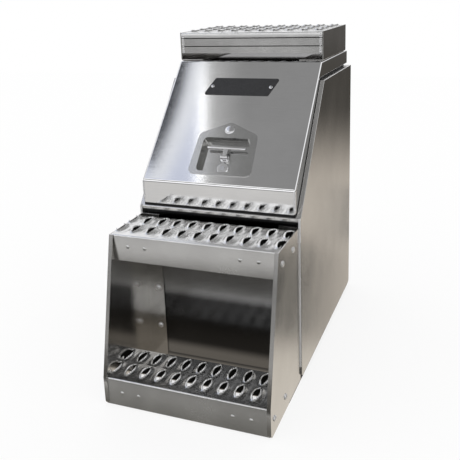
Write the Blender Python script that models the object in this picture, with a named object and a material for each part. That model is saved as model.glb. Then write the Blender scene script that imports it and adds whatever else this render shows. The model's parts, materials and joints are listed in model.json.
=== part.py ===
"""Truck step box: a sheet aluminium tool box with a hinged, treaded lid and a bolted-on two-step frame.

X points right, Y points to the back and Z points up. Every piece is built with Y = 0 on the front of the
box and Z = 0 under the step frame, and one empty then centres the whole on its footprint.
"""
import math

import bmesh
import bpy
from mathutils import Matrix, Vector

MM = 0.001
SEAT = 0.3 * MM
REACH = 40 * MM
ARC_STEP = math.radians(30)
DOME_STEPS = 3
FACING = 0.99

# Box
BOX_WIDTH = 457.2 * MM
BOX_DEPTH = 628 * MM
BOX_BOTTOM = 10 * MM
SILL_HEIGHT = 456 * MM
BOX_TOP = 773 * MM
KNEE_BACK = 258 * MM
BOX_SHEET = 3 * MM
BOX_CORNER = 12 * MM
BOX_BEND = 4 * MM
JAMB_WIDTH = 30 * MM
REAR_JAMB_WIDTH = 45 * MM

# Seal
SEAL_HEIGHT = 6.4 * MM
SEAL_WIDTH = 12 * MM
SEAL_INSET = 2 * MM

# Lid, by how far it stays inside the box's sides and stands off its sill, knee and top
LID_SIDE_GAP = 12.6 * MM
LID_SHEET = 2.5 * MM
LID_BEND = 6 * MM
RETURN_HEIGHT = 76 * MM
BROW_SETBACK = 23 * MM
LID_RISE = 49 * MM

# Hinge
KNUCKLE_RADIUS = 4 * MM
HINGE_PIN_RADIUS = 1.5 * MM
HINGE_LEAF = 1.8 * MM
HINGE_END_GAP = 26 * MM
BODY_LEAF_WIDTH = 22 * MM
LID_LEAF_HEIGHT = 30 * MM
KNUCKLES = 8
KNUCKLE_GAP = 0.5 * MM

# Grip planks
PLANK_SHEET = 2.5 * MM
PLANK_FLANGE = 62 * MM
PLANK_BEND = 4 * MM
LEAF_PITCH = 43 * MM
ROW_GAP = 11 * MM
LEAF_LENGTH = 62 * MM
LEAF_WIDTH = 16 * MM
LEAF_STEPS = 8
LIP_RISE = 5 * MM
TOOTH = 1.6 * MM
TIP_RISE = 1.2 * MM

# Step frame
STEP_SIDE_GAP = 4.6 * MM
STEP_SHEET = 3 * MM
STEP_DROP = 20 * MM
STEP_TOP_REACH = 175 * MM
STEP_REACH = 259 * MM
STEP_KNEE = 77.5 * MM
STEP_CORNER = 12 * MM
STEP_FLANGE = 54 * MM
STEP_HEM = 10 * MM
PLANK_REAR_GAP = 3.3 * MM

# Brackets inside the step planks
BRACKET_SHEET = 3 * MM
BRACKET_HEIGHT = 44 * MM
BRACKET_DROP = 38 * MM
BRACKET_FRONT_LEG = 115 * MM
BRACKET_REAR_GAP = 27.4 * MM
BRACKET_BOLT_FRONT = 25 * MM
BRACKET_BOLT_REAR = 19.8 * MM

# Bolts
BOLT_RADIUS = 4 * MM
BOLT_HEAD_RADIUS = 8 * MM
BOLT_HEAD_HEIGHT = 4 * MM
BOLT_END = 2 * MM
NUT_RADIUS = 7.5 * MM
NUT_HEIGHT = 6.5 * MM
FRAME_BOLT_INSET = 17 * MM
FRAME_BOLT_HEIGHTS = (100 * MM, 217 * MM)

# Top tread
TOP_TREAD_OVERHANG = 1.5 * MM
TOP_TREAD_SETBACK = 11 * MM
TOP_TREAD_REAR_GAP = 34 * MM
TOP_TREAD_RISE = 82 * MM
TOP_END_SHEET = 3 * MM
TOP_FOOT = 70 * MM

# Latch tray, by its margins round the pressed recess
TRAY_SHEET = 1.6 * MM
TRAY_FOOT_MARGIN = 10 * MM
TRAY_SHOULDER_MARGIN = 12 * MM
TRAY_GABLE = 38 * MM
TRAY_FOOT_SIDE = 22 * MM
TRAY_SHOULDER_SIDE = 16 * MM
TRAY_CORNER = 16 * MM
RECESS_HEIGHT = 105 * MM
RECESS_HALF = 68 * MM
RECESS_DEPTH = 22 * MM
RECESS_DRAFT = 3 * MM
RECESS_CORNER = 12 * MM
TRAY_BOLT_RISE = 25 * MM
TRAY_BOLT_HEAD = 14 * MM
TRAY_BOLT_DOME = 4 * MM
TRAY_BOLT_RADIUS = 4 * MM

# Latch, from how far its spindle is up the sloping face
SPINDLE_UP = 88 * MM
GRIP_REACH = 28 * MM
GRIP_END_GAP = 12 * MM
GRIP_RADIUS = 4.5 * MM
GRIP_CHAMFER = 2 * MM
STEM_SHOULDER = 1 * MM
STEM_THICK = 7 * MM
EYE_RADIUS = 5.5 * MM
EYE_HALF = 5 * MM
HUB_MARGIN = 3.2 * MM
HUB_BASE = 5 * MM
EAR_THICK = 4 * MM
HANDLE_PIN_RADIUS = 2.4 * MM
SPINDLE_RADIUS = 6 * MM
CAM_GAP = 12 * MM
CAM_CATCH = 4 * MM
CAM_SHEET = 4 * MM
CAM_WIDTH = 25 * MM
CAM_TOE = 4 * MM
CAM_NUT_RADIUS = 11 * MM
CAM_NUT_HEIGHT = 6 * MM
LOCK_GAP = 0.5 * MM
LOCK_RING_RADIUS = 17 * MM
LOCK_RING_HEIGHT = 5 * MM
LOCK_RING_CHAMFER = 1.8 * MM
LOCK_BARREL_RADIUS = 9 * MM
LOCK_BARREL_DEPTH = 12 * MM
PLUG_RADIUS = 6.5 * MM
PLUG_PROUD = 2 * MM
KEYWAY = (7 * MM, 1.6 * MM, 5 * MM)

# Nameplate, left bare
NAMEPLATE_DROP = 91 * MM
NAMEPLATE_HALF_WIDTH = 96 * MM
NAMEPLATE_HALF_HEIGHT = 29 * MM
NAMEPLATE_SLANT = 12 * MM
NAMEPLATE_CORNER = 5 * MM
NAMEPLATE_SHEET = 1.2 * MM

# Places that follow from the sizes above
BOX_HALF = BOX_WIDTH / 2
BOX_INNER = BOX_HALF - BOX_SHEET
JAMB_INNER = BOX_HALF - JAMB_WIDTH
CENTRE_BACK = (BOX_DEPTH - STEP_REACH) / 2
LID_HALF = BOX_HALF - LID_SIDE_GAP
RIM_LIFT = SEAL_HEIGHT + 2 * SEAT
RIM_WIDTH = SEAL_INSET + SEAL_WIDTH
NOSE_HEIGHT = SILL_HEIGHT + RETURN_HEIGHT
BROW_BACK = KNEE_BACK + BROW_SETBACK
LID_TOP = BOX_TOP + LID_RISE
SLOPE = Vector((KNEE_BACK, BOX_TOP - SILL_HEIGHT)).normalized()
SLOPE_OUT = Vector((-SLOPE.y, SLOPE.x))
FACE = Vector((BROW_BACK, LID_TOP - NOSE_HEIGHT)).normalized()
FACE_OUT = Vector((-FACE.y, FACE.x))
HINGE_BACK = BOX_DEPTH - KNUCKLE_RADIUS
HINGE_HEIGHT = BOX_TOP + SEAT + KNUCKLE_RADIUS + SEAT
HINGE_LENGTH = 2 * (LID_HALF - HINGE_END_GAP)
STEP_HALF = BOX_HALF - STEP_SIDE_GAP
STEP_INNER = STEP_HALF - STEP_SHEET
STEP_TOP = SILL_HEIGHT - STEP_DROP
STEP_FACE = Vector((STEP_REACH - STEP_TOP_REACH, STEP_TOP - STEP_KNEE)).normalized()
HEM_DEPTH = STEP_SHEET / STEP_FACE.y + SEAT
FRAME_BOLT_ACROSS = STEP_HALF - STEP_FLANGE + FRAME_BOLT_INSET
ROW_PITCH = LEAF_LENGTH + ROW_GAP
PLANK_DEPTH = STEP_TOP_REACH - HEM_DEPTH - PLANK_REAR_GAP - STEP_SHEET - SEAT
BRACKET_FRONT = PLANK_SHEET + SEAT
BRACKET_SIDE_LEG = PLANK_DEPTH - 2 * BRACKET_FRONT - BRACKET_REAR_GAP
BRACKET_BOLTS = (BRACKET_BOLT_FRONT, BRACKET_FRONT + BRACKET_SIDE_LEG - BRACKET_BOLT_REAR)
TOP_TREAD_HALF = LID_HALF + TOP_TREAD_OVERHANG
TOP_TREAD_FRONT = BROW_BACK + TOP_TREAD_SETBACK
TOP_TREAD_DEPTH = BOX_DEPTH - TOP_TREAD_REAR_GAP - TOP_TREAD_FRONT
TOP_TREAD_TOP = LID_TOP + TOP_TREAD_RISE
HUB_RADIUS = EYE_HALF + SEAT + EAR_THICK + HUB_MARGIN
LEVER_HEIGHT = HUB_BASE + SEAT + EYE_RADIUS
LOCK_UP = SPINDLE_UP - HUB_RADIUS - LOCK_GAP - LOCK_RING_RADIUS
RECESS_LOW = LOCK_UP - LOCK_RING_RADIUS - RECESS_DRAFT
RECESS_HIGH = RECESS_LOW + RECESS_HEIGHT
TRAY_FOOT = RECESS_LOW - TRAY_FOOT_MARGIN
TRAY_SHOULDER = RECESS_HIGH + TRAY_SHOULDER_MARGIN
TRAY_PEAK = TRAY_SHOULDER + TRAY_GABLE
TRAY_BOLT_UP = RECESS_HIGH + TRAY_BOLT_RISE
TRAY_FLOOR = SEAT + TRAY_SHEET - RECESS_DEPTH
LATCH_SEAT = TRAY_FLOOR + SEAT

FINISHES = {
    "sheet": ((0.62, 0.60, 0.57), 0.32, 1.0),
    "polished": ((0.80, 0.80, 0.80), 0.12, 1.0),
    "grip": ((0.72, 0.72, 0.71), 0.30, 1.0),
    "steel": ((0.60, 0.60, 0.62), 0.25, 1.0),
    "chrome": ((0.85, 0.85, 0.86), 0.08, 1.0),
    "rubber": ((0.02, 0.02, 0.02), 0.80, 0.0),
    "black_plate": ((0.03, 0.03, 0.03), 0.45, 0.0),
}


def clear_scene():
    for item in list(bpy.data.objects):
        bpy.data.objects.remove(item, do_unlink=True)


def finish(name):
    """The Principled material of one finish, made once."""
    found = bpy.data.materials.get(name)
    if found:
        return found
    colour, roughness, metallic = FINISHES[name]
    made = bpy.data.materials.new(name)
    made.use_nodes = True
    shader = made.node_tree.nodes["Principled BSDF"]
    shader.inputs["Base Color"].default_value = (*colour, 1)
    shader.inputs["Roughness"].default_value = roughness
    shader.inputs["Metallic"].default_value = metallic
    return made


def to_object(name, bm):
    """A linked object from a bmesh, with its faces pointing outwards."""
    bmesh.ops.recalc_face_normals(bm, faces=bm.faces)
    mesh = bpy.data.meshes.new(name)
    bm.to_mesh(mesh)
    bm.free()
    made = bpy.data.objects.new(name, mesh)
    bpy.context.scene.collection.objects.link(made)
    return made


def rotated(vector, angle):
    return Vector((vector.x * math.cos(angle) - vector.y * math.sin(angle),
                   vector.x * math.sin(angle) + vector.y * math.cos(angle)))


def rounded(points, radii, closed=True):
    """The points of an outline with an arc in place of each corner that has a radius."""
    outline = []
    for index, corner in enumerate(points):
        radius = radii[index] if isinstance(radii, list) else radii
        at_end = not closed and index in (0, len(points) - 1)
        if at_end or radius <= 0:
            outline.append(corner)
            continue
        before = (points[index - 1] - corner).normalized()
        after = (points[(index + 1) % len(points)] - corner).normalized()
        half = before.angle(after) / 2
        centre = corner + (before + after).normalized() * radius / math.sin(half)
        spoke = corner + before * radius / math.tan(half) - centre
        turn = math.copysign(math.pi - 2 * half, -before.cross(after))
        steps = max(2, round(abs(turn) / ARC_STEP))
        outline += [centre + rotated(spoke, turn * step / steps) for step in range(steps + 1)]
    return outline


def shifted(path, distance):
    """An open path moved to its left by a distance."""
    normals = []
    for start, end in zip(path, path[1:]):
        run = (end - start).normalized()
        normals.append(Vector((-run.y, run.x)))
    first = [normals[0]] + normals
    second = normals + [normals[-1]]
    return [point + (a + b) * distance / (1 + a.dot(b)) for point, a, b in zip(path, first, second)]


def bent_sheet(path, sheet, radii):
    """Section of a folded sheet whose outer side is the path and whose metal lies to its left."""
    inner = [max(radius - sheet, 0) for radius in radii]
    return rounded(path, radii, closed=False) + rounded(shifted(path, sheet), inner, closed=False)[::-1]


def prism(name, outline, axis, low, high):
    """A flat outline drawn square to an axis and pushed along it."""
    lift = {"X": lambda p, h: (h, p.x, p.y), "Y": lambda p, h: (p.x, h, p.y), "Z": lambda p, h: (p.x, p.y, h)}
    bm = bmesh.new()
    near = [bm.verts.new(lift[axis](point, low)) for point in outline]
    far = [bm.verts.new(lift[axis](point, high)) for point in outline]
    bm.faces.new(near)
    bm.faces.new(far)
    for index in range(len(outline)):
        bm.faces.new((near[index - 1], near[index], far[index], far[index - 1]))
    return to_object(name, bm)


def block(name, low, high):
    corners = [(low[0], low[1]), (high[0], low[1]), (high[0], high[1]), (low[0], high[1])]
    return prism(name, [Vector(corner) for corner in corners], "Z", low[2], high[2])


def turned(name, profile, sides=16):
    """A solid of revolution about Z from (radius, height) pairs."""
    bm = bmesh.new()
    verts = [bm.verts.new((radius, 0, height)) for radius, height in profile]
    edges = [bm.edges.new(pair) for pair in zip(verts, verts[1:])]
    bmesh.ops.spin(bm, geom=verts + edges, cent=(0, 0, 0), axis=(0, 0, 1), angle=2 * math.pi, steps=sides)
    bmesh.ops.remove_doubles(bm, verts=bm.verts, dist=0.001 * MM)
    return to_object(name, bm)


def rod(name, radius, low, high, sides=12):
    return turned(name, [(0, low), (radius, low), (radius, high), (0, high)], sides)


def dome(radius, base, height):
    """Profile of a domed head from its rim up to its crown."""
    angles = [math.pi / 2 * step / DOME_STEPS for step in range(DOME_STEPS)]
    return [(radius * math.cos(a), base + height * math.sin(a)) for a in angles] + [(0, base + height)]


def moved(item, matrix):
    item.data.transform(matrix)
    return item


def along(axis, place):
    """The matrix that turns Z to an axis and moves the origin to a place."""
    turn = Vector((0, 0, 1)).rotation_difference(Vector(axis))
    return Matrix.Translation(place) @ turn.to_matrix().to_4x4()


def combine(target, tool, operation, solver="EXACT"):
    """The target joined with, or cut by, a tool that is then removed."""
    modifier = target.modifiers.new(operation, "BOOLEAN")
    modifier.operation = operation
    modifier.solver = solver
    modifier.object = tool
    depsgraph = bpy.context.evaluated_depsgraph_get()
    result = bpy.data.meshes.new_from_object(target.evaluated_get(depsgraph))
    target.modifiers.clear()
    target.data = result
    bpy.data.objects.remove(tool, do_unlink=True)
    return target


def cut(target, tool):
    return combine(target, tool, "DIFFERENCE")


def join(target, tool):
    return combine(target, tool, "UNION")


def dressed(item, material, parent, smooth=False):
    """A finished piece with its material, hung on its carrier."""
    item.data.materials.clear()
    item.data.materials.append(finish(material))
    if smooth:
        item.data.shade_smooth()
        item.data.set_sharp_from_angle(angle=math.radians(40))
    item.parent = parent
    return item


def guide(name, place, turn, parent):
    """An empty that carries a group of pieces or marks a joint's axis."""
    made = bpy.data.objects.new(name, None)
    bpy.context.scene.collection.objects.link(made)
    made.hide_render = True
    made.parent = parent
    made.location = place
    made.rotation_euler = (turn, 0, 0)
    return made


def on_slope(up, out):
    """A point by its distance up the jamb's slope and its distance outside it."""
    return Vector((0, SILL_HEIGHT)) + SLOPE * up + SLOPE_OUT * out


def slope_at(back, out):
    """The point at a given depth on the line that runs outside the jamb's slope by a distance."""
    start = on_slope(0, out)
    return start + SLOPE * (back - start.x) / SLOPE.x


def knee_at(out):
    """Where the lines outside the jamb's slope and top by a distance meet."""
    start = on_slope(0, out)
    return start + SLOPE * (BOX_TOP + out - start.y) / SLOPE.y


def face_matrix():
    """The lid's sloping face: X across, Y up the slope from its lower bend, Z outwards."""
    columns = [(1, 0, 0, 0), (0, FACE.x, FACE.y, 0), (0, FACE_OUT.x, FACE_OUT.y, 0), (0, 0, NOSE_HEIGHT, 1)]
    return Matrix(columns).transposed()


def side_panel(side):
    """One side of the box, with the jamb flange folded in along its slope and top."""
    corners = [(0, BOX_BOTTOM), (BOX_DEPTH, BOX_BOTTOM), (BOX_DEPTH, BOX_TOP), (KNEE_BACK, BOX_TOP),
               (0, SILL_HEIGHT)]
    outline = rounded([Vector(corner) for corner in corners], [BOX_CORNER, BOX_CORNER, 0, 0, 0])
    panel = prism(f"side_panel_{side}", outline, "X", JAMB_INNER, BOX_HALF)
    back_clear = BOX_DEPTH - BOX_SHEET - SEAT
    inside = [Vector((-REACH, BOX_BOTTOM - REACH)), Vector((BOX_DEPTH + REACH, BOX_BOTTOM - REACH)),
              Vector((BOX_DEPTH + REACH, BOX_TOP + REACH)), Vector((back_clear, BOX_TOP + REACH)),
              Vector((back_clear, BOX_TOP - BOX_SHEET)), knee_at(-BOX_SHEET), slope_at(-REACH, -BOX_SHEET)]
    cut(panel, prism("inside", inside, "X", JAMB_INNER - REACH, BOX_INNER))
    return mirrored(panel, side)


def mirrored(item, side):
    """The piece as modelled on the right, or its mirror image on the left."""
    if side == "left":
        item.data.transform(Matrix.Scale(-1, 4, (1, 0, 0)))
        item.data.flip_normals()
    return item


def body_wrap():
    """Front, floor and back of the box, folded from one sheet with a jamb flange at each end."""
    path = [on_slope(JAMB_WIDTH, 0), Vector((0, SILL_HEIGHT)), Vector((0, BOX_BOTTOM)),
            Vector((BOX_DEPTH, BOX_BOTTOM)), Vector((BOX_DEPTH, BOX_TOP)),
            Vector((BOX_DEPTH - REAR_JAMB_WIDTH, BOX_TOP))]
    radii = [0, BOX_BEND, BOX_CORNER, BOX_CORNER, BOX_BEND, 0]
    half = BOX_INNER - SEAT
    wrap = prism("body_wrap", bent_sheet(path, BOX_SHEET, radii), "X", -half, half)
    under = BOX_SHEET + SEAT
    above = [slope_at(-REACH, -under), knee_at(-under), Vector((BOX_DEPTH - under, BOX_TOP - under)),
             Vector((BOX_DEPTH - under, BOX_TOP + REACH)), Vector((-REACH, BOX_TOP + REACH))]
    for low, high in ((JAMB_INNER - SEAT, BOX_HALF), (-BOX_HALF, SEAT - JAMB_INNER)):
        cut(wrap, prism("notch", above, "X", low, high))
    for across, height in frame_bolt_places():
        cut(wrap, bolt_hole(across, height))
    return wrap


def frame_bolt_places():
    return [(sign * FRAME_BOLT_ACROSS, height) for sign in (-1, 1) for height in FRAME_BOLT_HEIGHTS]


def bolt_hole(across, height):
    """A cutter for one bolt through the step frame's flange and the box's front."""
    hole = rod("hole", BOLT_RADIUS + SEAT, -REACH, REACH)
    return moved(hole, along((0, 1, 0), (across, 0, height)))


def jamb_seal():
    """Rubber strip on the jamb along the sill and both sides, under the lid's rim."""
    half = LID_HALF - SEAL_INSET
    low = SEAT
    high = SEAT + SEAL_HEIGHT
    back = BOX_DEPTH - REAR_JAMB_WIDTH
    band = [slope_at(SEAL_INSET, low), knee_at(low), Vector((back, BOX_TOP + low)),
            Vector((back, BOX_TOP + high)), knee_at(high), slope_at(SEAL_INSET, high)]
    seal = prism("jamb_seal", band, "X", -half, half)
    inner = half - SEAL_WIDTH
    start = SEAL_INSET + SEAL_WIDTH * SLOPE.x
    mouth = [slope_at(start, low - SEAT), knee_at(low - SEAT), Vector((back + REACH, BOX_TOP)),
             Vector((back + REACH, BOX_TOP + high + SEAT)), knee_at(high + SEAT), slope_at(start, high + SEAT)]
    return cut(seal, prism("mouth", mouth, "X", -inner, inner))


def lid_outline(inset):
    """Side view of the lid's shell, drawn in from its outer faces by a distance."""
    rim = RIM_LIFT + inset
    face_start = Vector((0, NOSE_HEIGHT)) - FACE_OUT * inset
    nose = face_start + FACE * (inset - face_start.x) / FACE.x
    brow = face_start + FACE * (LID_TOP - inset - face_start.y) / FACE.y
    return [slope_at(inset, rim), knee_at(rim), Vector((BOX_DEPTH - inset, BOX_TOP + rim)),
            Vector((BOX_DEPTH - inset, LID_TOP - inset)), brow, nose]


def lid_block(name, inset, bend):
    """The lid's form as a solid, all its edges rounded but those of the rim."""
    half = LID_HALF - inset
    shape = prism(name, lid_outline(inset), "X", -half, half)
    bm = bmesh.new()
    bm.from_mesh(shape.data)
    rim_faces = [face for face in bm.faces if is_rim(face.normal)]
    edges = [edge for edge in bm.edges if not any(face in rim_faces for face in edge.link_faces)]
    bmesh.ops.bevel(bm, geom=edges, offset=bend, segments=3, affect="EDGES", profile=0.5, clamp_overlap=True)
    bm.to_mesh(shape.data)
    bm.free()
    return shape


def is_rim(normal):
    slope_in = Vector((0, -SLOPE_OUT.x, -SLOPE_OUT.y))
    return -normal.z > FACING or normal.dot(slope_in) > FACING


def lid_pan():
    """The door: top, sloping face and front return folded from one sheet, with an inturned rim."""
    pan = lid_block("lid_pan", 0, LID_BEND)
    below = RIM_LIFT - LID_SHEET
    above = RIM_LIFT + 2 * LID_SHEET
    start = RIM_WIDTH * SLOPE.x
    back = BOX_DEPTH - LID_SHEET
    mouth = [slope_at(start, below), knee_at(below), Vector((back, BOX_TOP + below)),
             Vector((back, BOX_TOP + above)), knee_at(above), slope_at(start, above)]
    inner = LID_HALF - RIM_WIDTH
    combine(pan, lid_block("hollow", LID_SHEET, LID_BEND - LID_SHEET), "DIFFERENCE", "MANIFOLD")
    combine(pan, prism("mouth", mouth, "X", -inner, inner), "DIFFERENCE", "MANIFOLD")
    hinge_clear = HINGE_LENGTH / 2 + KNUCKLE_GAP
    low = (-hinge_clear, BOX_DEPTH - RIM_WIDTH, BOX_TOP)
    high = (hinge_clear, BOX_DEPTH + REACH, HINGE_HEIGHT + KNUCKLE_RADIUS + KNUCKLE_GAP)
    cut(pan, block("knuckle_clear", low, high))
    cut(pan, moved(recess_block("latch_hole", SEAT), face_matrix()))
    tray_bolt_hole = rod("tray_bolt_hole", TRAY_BOLT_RADIUS + SEAT, -REACH, REACH)
    cut(pan, moved(tray_bolt_hole, face_matrix() @ Matrix.Translation((0, TRAY_BOLT_UP, 0))))
    return pan


def recess_outline(grow):
    """Outline of the latch tray's pressed recess, larger all round by a distance."""
    low, high, half = RECESS_LOW - grow, RECESS_HIGH + grow, RECESS_HALF + grow
    corners = [Vector((-half, low)), Vector((half, low)), Vector((half, high)), Vector((-half, high))]
    return rounded(corners, RECESS_CORNER + grow)


def recess_block(name, clearance):
    return prism(name, recess_outline(TRAY_SHEET + clearance), "Z", -REACH, REACH)


def recess_loft(name, grow, floor, top):
    """The recess as a drafted solid, from its floor up to a given height."""
    bm = bmesh.new()
    rings = []
    for height in (floor, top):
        drawn_in = RECESS_DRAFT * min(0, height) / floor
        rings.append([bm.verts.new((point.x, point.y, height)) for point in recess_outline(grow - drawn_in)])
    bm.faces.new(rings[0])
    bm.faces.new(rings[1])
    for index in range(len(rings[0])):
        bm.faces.new((rings[0][index - 1], rings[0][index], rings[1][index], rings[1][index - 1]))
    return to_object(name, bm)


def latch_tray():
    """House-shaped pressed tray whose recess hangs through the lid's face."""
    foot = RECESS_HALF + TRAY_FOOT_SIDE
    shoulder = RECESS_HALF + TRAY_SHOULDER_SIDE
    corners = [(-foot, TRAY_FOOT), (foot, TRAY_FOOT), (shoulder, TRAY_SHOULDER), (0, TRAY_PEAK),
               (-shoulder, TRAY_SHOULDER)]
    outline = rounded([Vector(corner) for corner in corners], TRAY_CORNER)
    tray = prism("latch_tray", outline, "Z", SEAT, SEAT + TRAY_SHEET)
    join(tray, recess_loft("bowl", TRAY_SHEET, TRAY_FLOOR - TRAY_SHEET, SEAT + TRAY_SHEET / 2))
    cut(tray, recess_loft("recess", 0, TRAY_FLOOR, SEAT + 2 * TRAY_SHEET))
    for up, radius in ((SPINDLE_UP, SPINDLE_RADIUS), (LOCK_UP, LOCK_BARREL_RADIUS)):
        hole = rod("hole", radius + SEAT, -REACH, 0, 16)
        cut(tray, moved(hole, Matrix.Translation((0, up, 0))))
    peak_hole = rod("peak_hole", TRAY_BOLT_RADIUS + SEAT, -REACH, REACH)
    return cut(tray, moved(peak_hole, Matrix.Translation((0, TRAY_BOLT_UP, 0))))


def tray_bolt():
    """Round-headed bolt that holds the tray's peak to the lid."""
    top = TRAY_SHEET + 2 * SEAT
    end = -LID_SHEET - NUT_HEIGHT - BOLT_END
    shank = [(0, end), (TRAY_BOLT_RADIUS, end), (TRAY_BOLT_RADIUS, top)]
    return turned("tray_bolt", shank + dome(TRAY_BOLT_HEAD, top, TRAY_BOLT_DOME))


def spindle():
    """Hub with two ears for the handle and a stem that carries the cam behind the lid."""
    end = -cam_depth() - CAM_SHEET - CAM_NUT_HEIGHT - 2 * BOLT_END
    profile = [(0, end), (SPINDLE_RADIUS, end), (SPINDLE_RADIUS, 0), (HUB_RADIUS, 0), (HUB_RADIUS, HUB_BASE),
               (0, HUB_BASE)]
    hub = turned("spindle", profile)
    gap = EYE_HALF + SEAT
    crown = LEVER_HEIGHT + EYE_RADIUS
    for sign in (-1, 1):
        near, far = sorted((sign * gap, sign * (gap + EAR_THICK)))
        ear = [Vector((-EYE_RADIUS, HUB_BASE / 2)), Vector((EYE_RADIUS, HUB_BASE / 2)),
               Vector((EYE_RADIUS, crown)), Vector((-EYE_RADIUS, crown))]
        tip = EYE_RADIUS - SEAT
        join(hub, prism("ear", rounded(ear, [0, 0, tip, tip]), "X", near, far))
    bore = rod("bore", HANDLE_PIN_RADIUS + SEAT, -REACH, REACH)
    return cut(hub, moved(bore, along((1, 0, 0), (0, 0, LEVER_HEIGHT))))


def cam_depth():
    """From the tray's floor down to the top of the cam, so that it lies under the sill's flange."""
    hub = Vector((0, NOSE_HEIGHT)) + FACE * SPINDLE_UP + FACE_OUT * LATCH_SEAT
    height = (hub - Vector((0, SILL_HEIGHT))).dot(SLOPE_OUT)
    return (height + BOX_SHEET + CAM_GAP) / SLOPE_OUT.dot(FACE_OUT)


def cam_length():
    """From the spindle down to the cam's tip, so that it reaches past the edge of the sill's flange."""
    hub = Vector((0, NOSE_HEIGHT)) + FACE * SPINDLE_UP + FACE_OUT * (LATCH_SEAT - cam_depth())
    height = (hub - Vector((0, SILL_HEIGHT))).dot(SLOPE)
    return (height - JAMB_WIDTH + CAM_CATCH) / SLOPE.dot(FACE)


def cam():
    """Flat bar behind the lid that swings under the sill's flange."""
    half = CAM_WIDTH / 2
    corners = [Vector((-half, -cam_length())), Vector((half, -cam_length())), Vector((half, half)),
               Vector((-half, half))]
    outline = rounded(corners, [CAM_TOE, CAM_TOE, half - SEAT, half - SEAT])
    bar = prism("cam", outline, "Z", -cam_depth() - CAM_SHEET, -cam_depth())
    return cut(bar, rod("hole", SPINDLE_RADIUS + SEAT, -cam_depth() - REACH, 0))


def nut(name, radius, bore, height):
    """A hexagon nut on Z, standing on the origin."""
    body = rod(name, radius, 0, height, 6)
    return cut(body, rod("thread", bore + SEAT, -REACH, REACH))


def t_handle():
    """Folding T-handle: round grip, flat stem and the eye that turns on the handle pin."""
    half = RECESS_HALF - GRIP_END_GAP
    shoulder = half - GRIP_CHAMFER
    tip = GRIP_RADIUS - GRIP_CHAMFER
    grip = turned("t_handle", [(0, -half), (tip, -half), (GRIP_RADIUS, -shoulder), (GRIP_RADIUS, shoulder),
                               (tip, half), (0, half)], 12)
    moved(grip, along((1, 0, 0), (0, GRIP_REACH, 0)))
    narrow = EYE_HALF - STEM_SHOULDER
    stem = [Vector((-narrow, 0)), Vector((narrow, 0)), Vector((2 * narrow, GRIP_REACH)),
            Vector((-2 * narrow, GRIP_REACH))]
    join(grip, prism("stem", stem, "Z", -STEM_THICK / 2, STEM_THICK / 2))
    join(grip, moved(rod("eye", EYE_RADIUS, -EYE_HALF, EYE_HALF), along((1, 0, 0), (0, 0, 0))))
    return cut(grip, moved(rod("bore", HANDLE_PIN_RADIUS + SEAT, -REACH, REACH), along((1, 0, 0), (0, 0, 0))))


def handle_pin():
    half = EYE_HALF + SEAT + EAR_THICK
    return moved(rod("handle_pin", HANDLE_PIN_RADIUS, -half, half), along((1, 0, 0), (0, 0, LEVER_HEIGHT)))


def lock_housing():
    """Round boss on the tray's floor with the lock's barrel behind it, bored for the key plug."""
    inner = PLUG_RADIUS + SEAT
    profile = [(inner, -LOCK_BARREL_DEPTH), (LOCK_BARREL_RADIUS, -LOCK_BARREL_DEPTH), (LOCK_BARREL_RADIUS, 0),
               (LOCK_RING_RADIUS, 0), (LOCK_RING_RADIUS, LOCK_RING_HEIGHT - LOCK_RING_CHAMFER),
               (LOCK_RING_RADIUS - LOCK_RING_CHAMFER, LOCK_RING_HEIGHT), (inner, LOCK_RING_HEIGHT),
               (inner, -LOCK_BARREL_DEPTH)]
    return turned("lock_housing", profile)


def lock_plug():
    """The turning core of the lock, with its keyway."""
    top = LOCK_RING_HEIGHT + PLUG_PROUD
    plug = rod("lock_plug", PLUG_RADIUS, -LOCK_BARREL_DEPTH, top, 16)
    length, width, depth = KEYWAY
    low = (-width / 2, -length / 2, top - depth)
    return cut(plug, block("keyway", low, (width / 2, length / 2, top + depth)))


def nameplate():
    """Slanted plate on the lid's face, left bare."""
    width, height, slant = NAMEPLATE_HALF_WIDTH, NAMEPLATE_HALF_HEIGHT, NAMEPLATE_SLANT
    corners = [(-width - slant, -height), (width - slant, -height), (width + slant, height),
               (-width + slant, height)]
    outline = rounded([Vector(corner) for corner in corners], NAMEPLATE_CORNER)
    plate = prism("nameplate", outline, "Z", SEAT, SEAT + NAMEPLATE_SHEET)
    up = math.hypot(BROW_BACK, LID_TOP - NOSE_HEIGHT) - NAMEPLATE_DROP
    return moved(plate, Matrix.Translation((0, up, 0)))


def knuckle_spans(first):
    """The stretches along the hinge that belong to every other knuckle."""
    pitch = HINGE_LENGTH / KNUCKLES
    starts = [-HINGE_LENGTH / 2 + pitch * index for index in range(first, KNUCKLES, 2)]
    return [(start + KNUCKLE_GAP / 2, start + pitch - KNUCKLE_GAP / 2) for start in starts]


def hinge_leaf(name, leaf_low, leaf_high, tab_low, tab_high, first):
    """A hinge leaf with its rolled knuckles, given its plate and one tab in side view."""
    leaf = block(name, (-HINGE_LENGTH / 2, *leaf_low), (HINGE_LENGTH / 2, *leaf_high))
    for start, end in knuckle_spans(first):
        join(leaf, block("tab", (start, *tab_low), (end, *tab_high)))
        knuckle = turned("knuckle", [(HINGE_PIN_RADIUS + SEAT, start), (KNUCKLE_RADIUS, start),
                                     (KNUCKLE_RADIUS, end), (HINGE_PIN_RADIUS + SEAT, end),
                                     (HINGE_PIN_RADIUS + SEAT, start)], 12)
        join(leaf, moved(knuckle, along((1, 0, 0), (0, HINGE_BACK, HINGE_HEIGHT))))
    return leaf


def hinge_leaf_body():
    low = BOX_TOP + SEAT
    edge = HINGE_BACK - KNUCKLE_RADIUS - KNUCKLE_GAP
    return hinge_leaf("hinge_leaf_body", (edge - BODY_LEAF_WIDTH, low), (edge, low + HINGE_LEAF),
                      (edge - HINGE_LEAF, low), (HINGE_BACK, low + HINGE_LEAF), 0)


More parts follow.
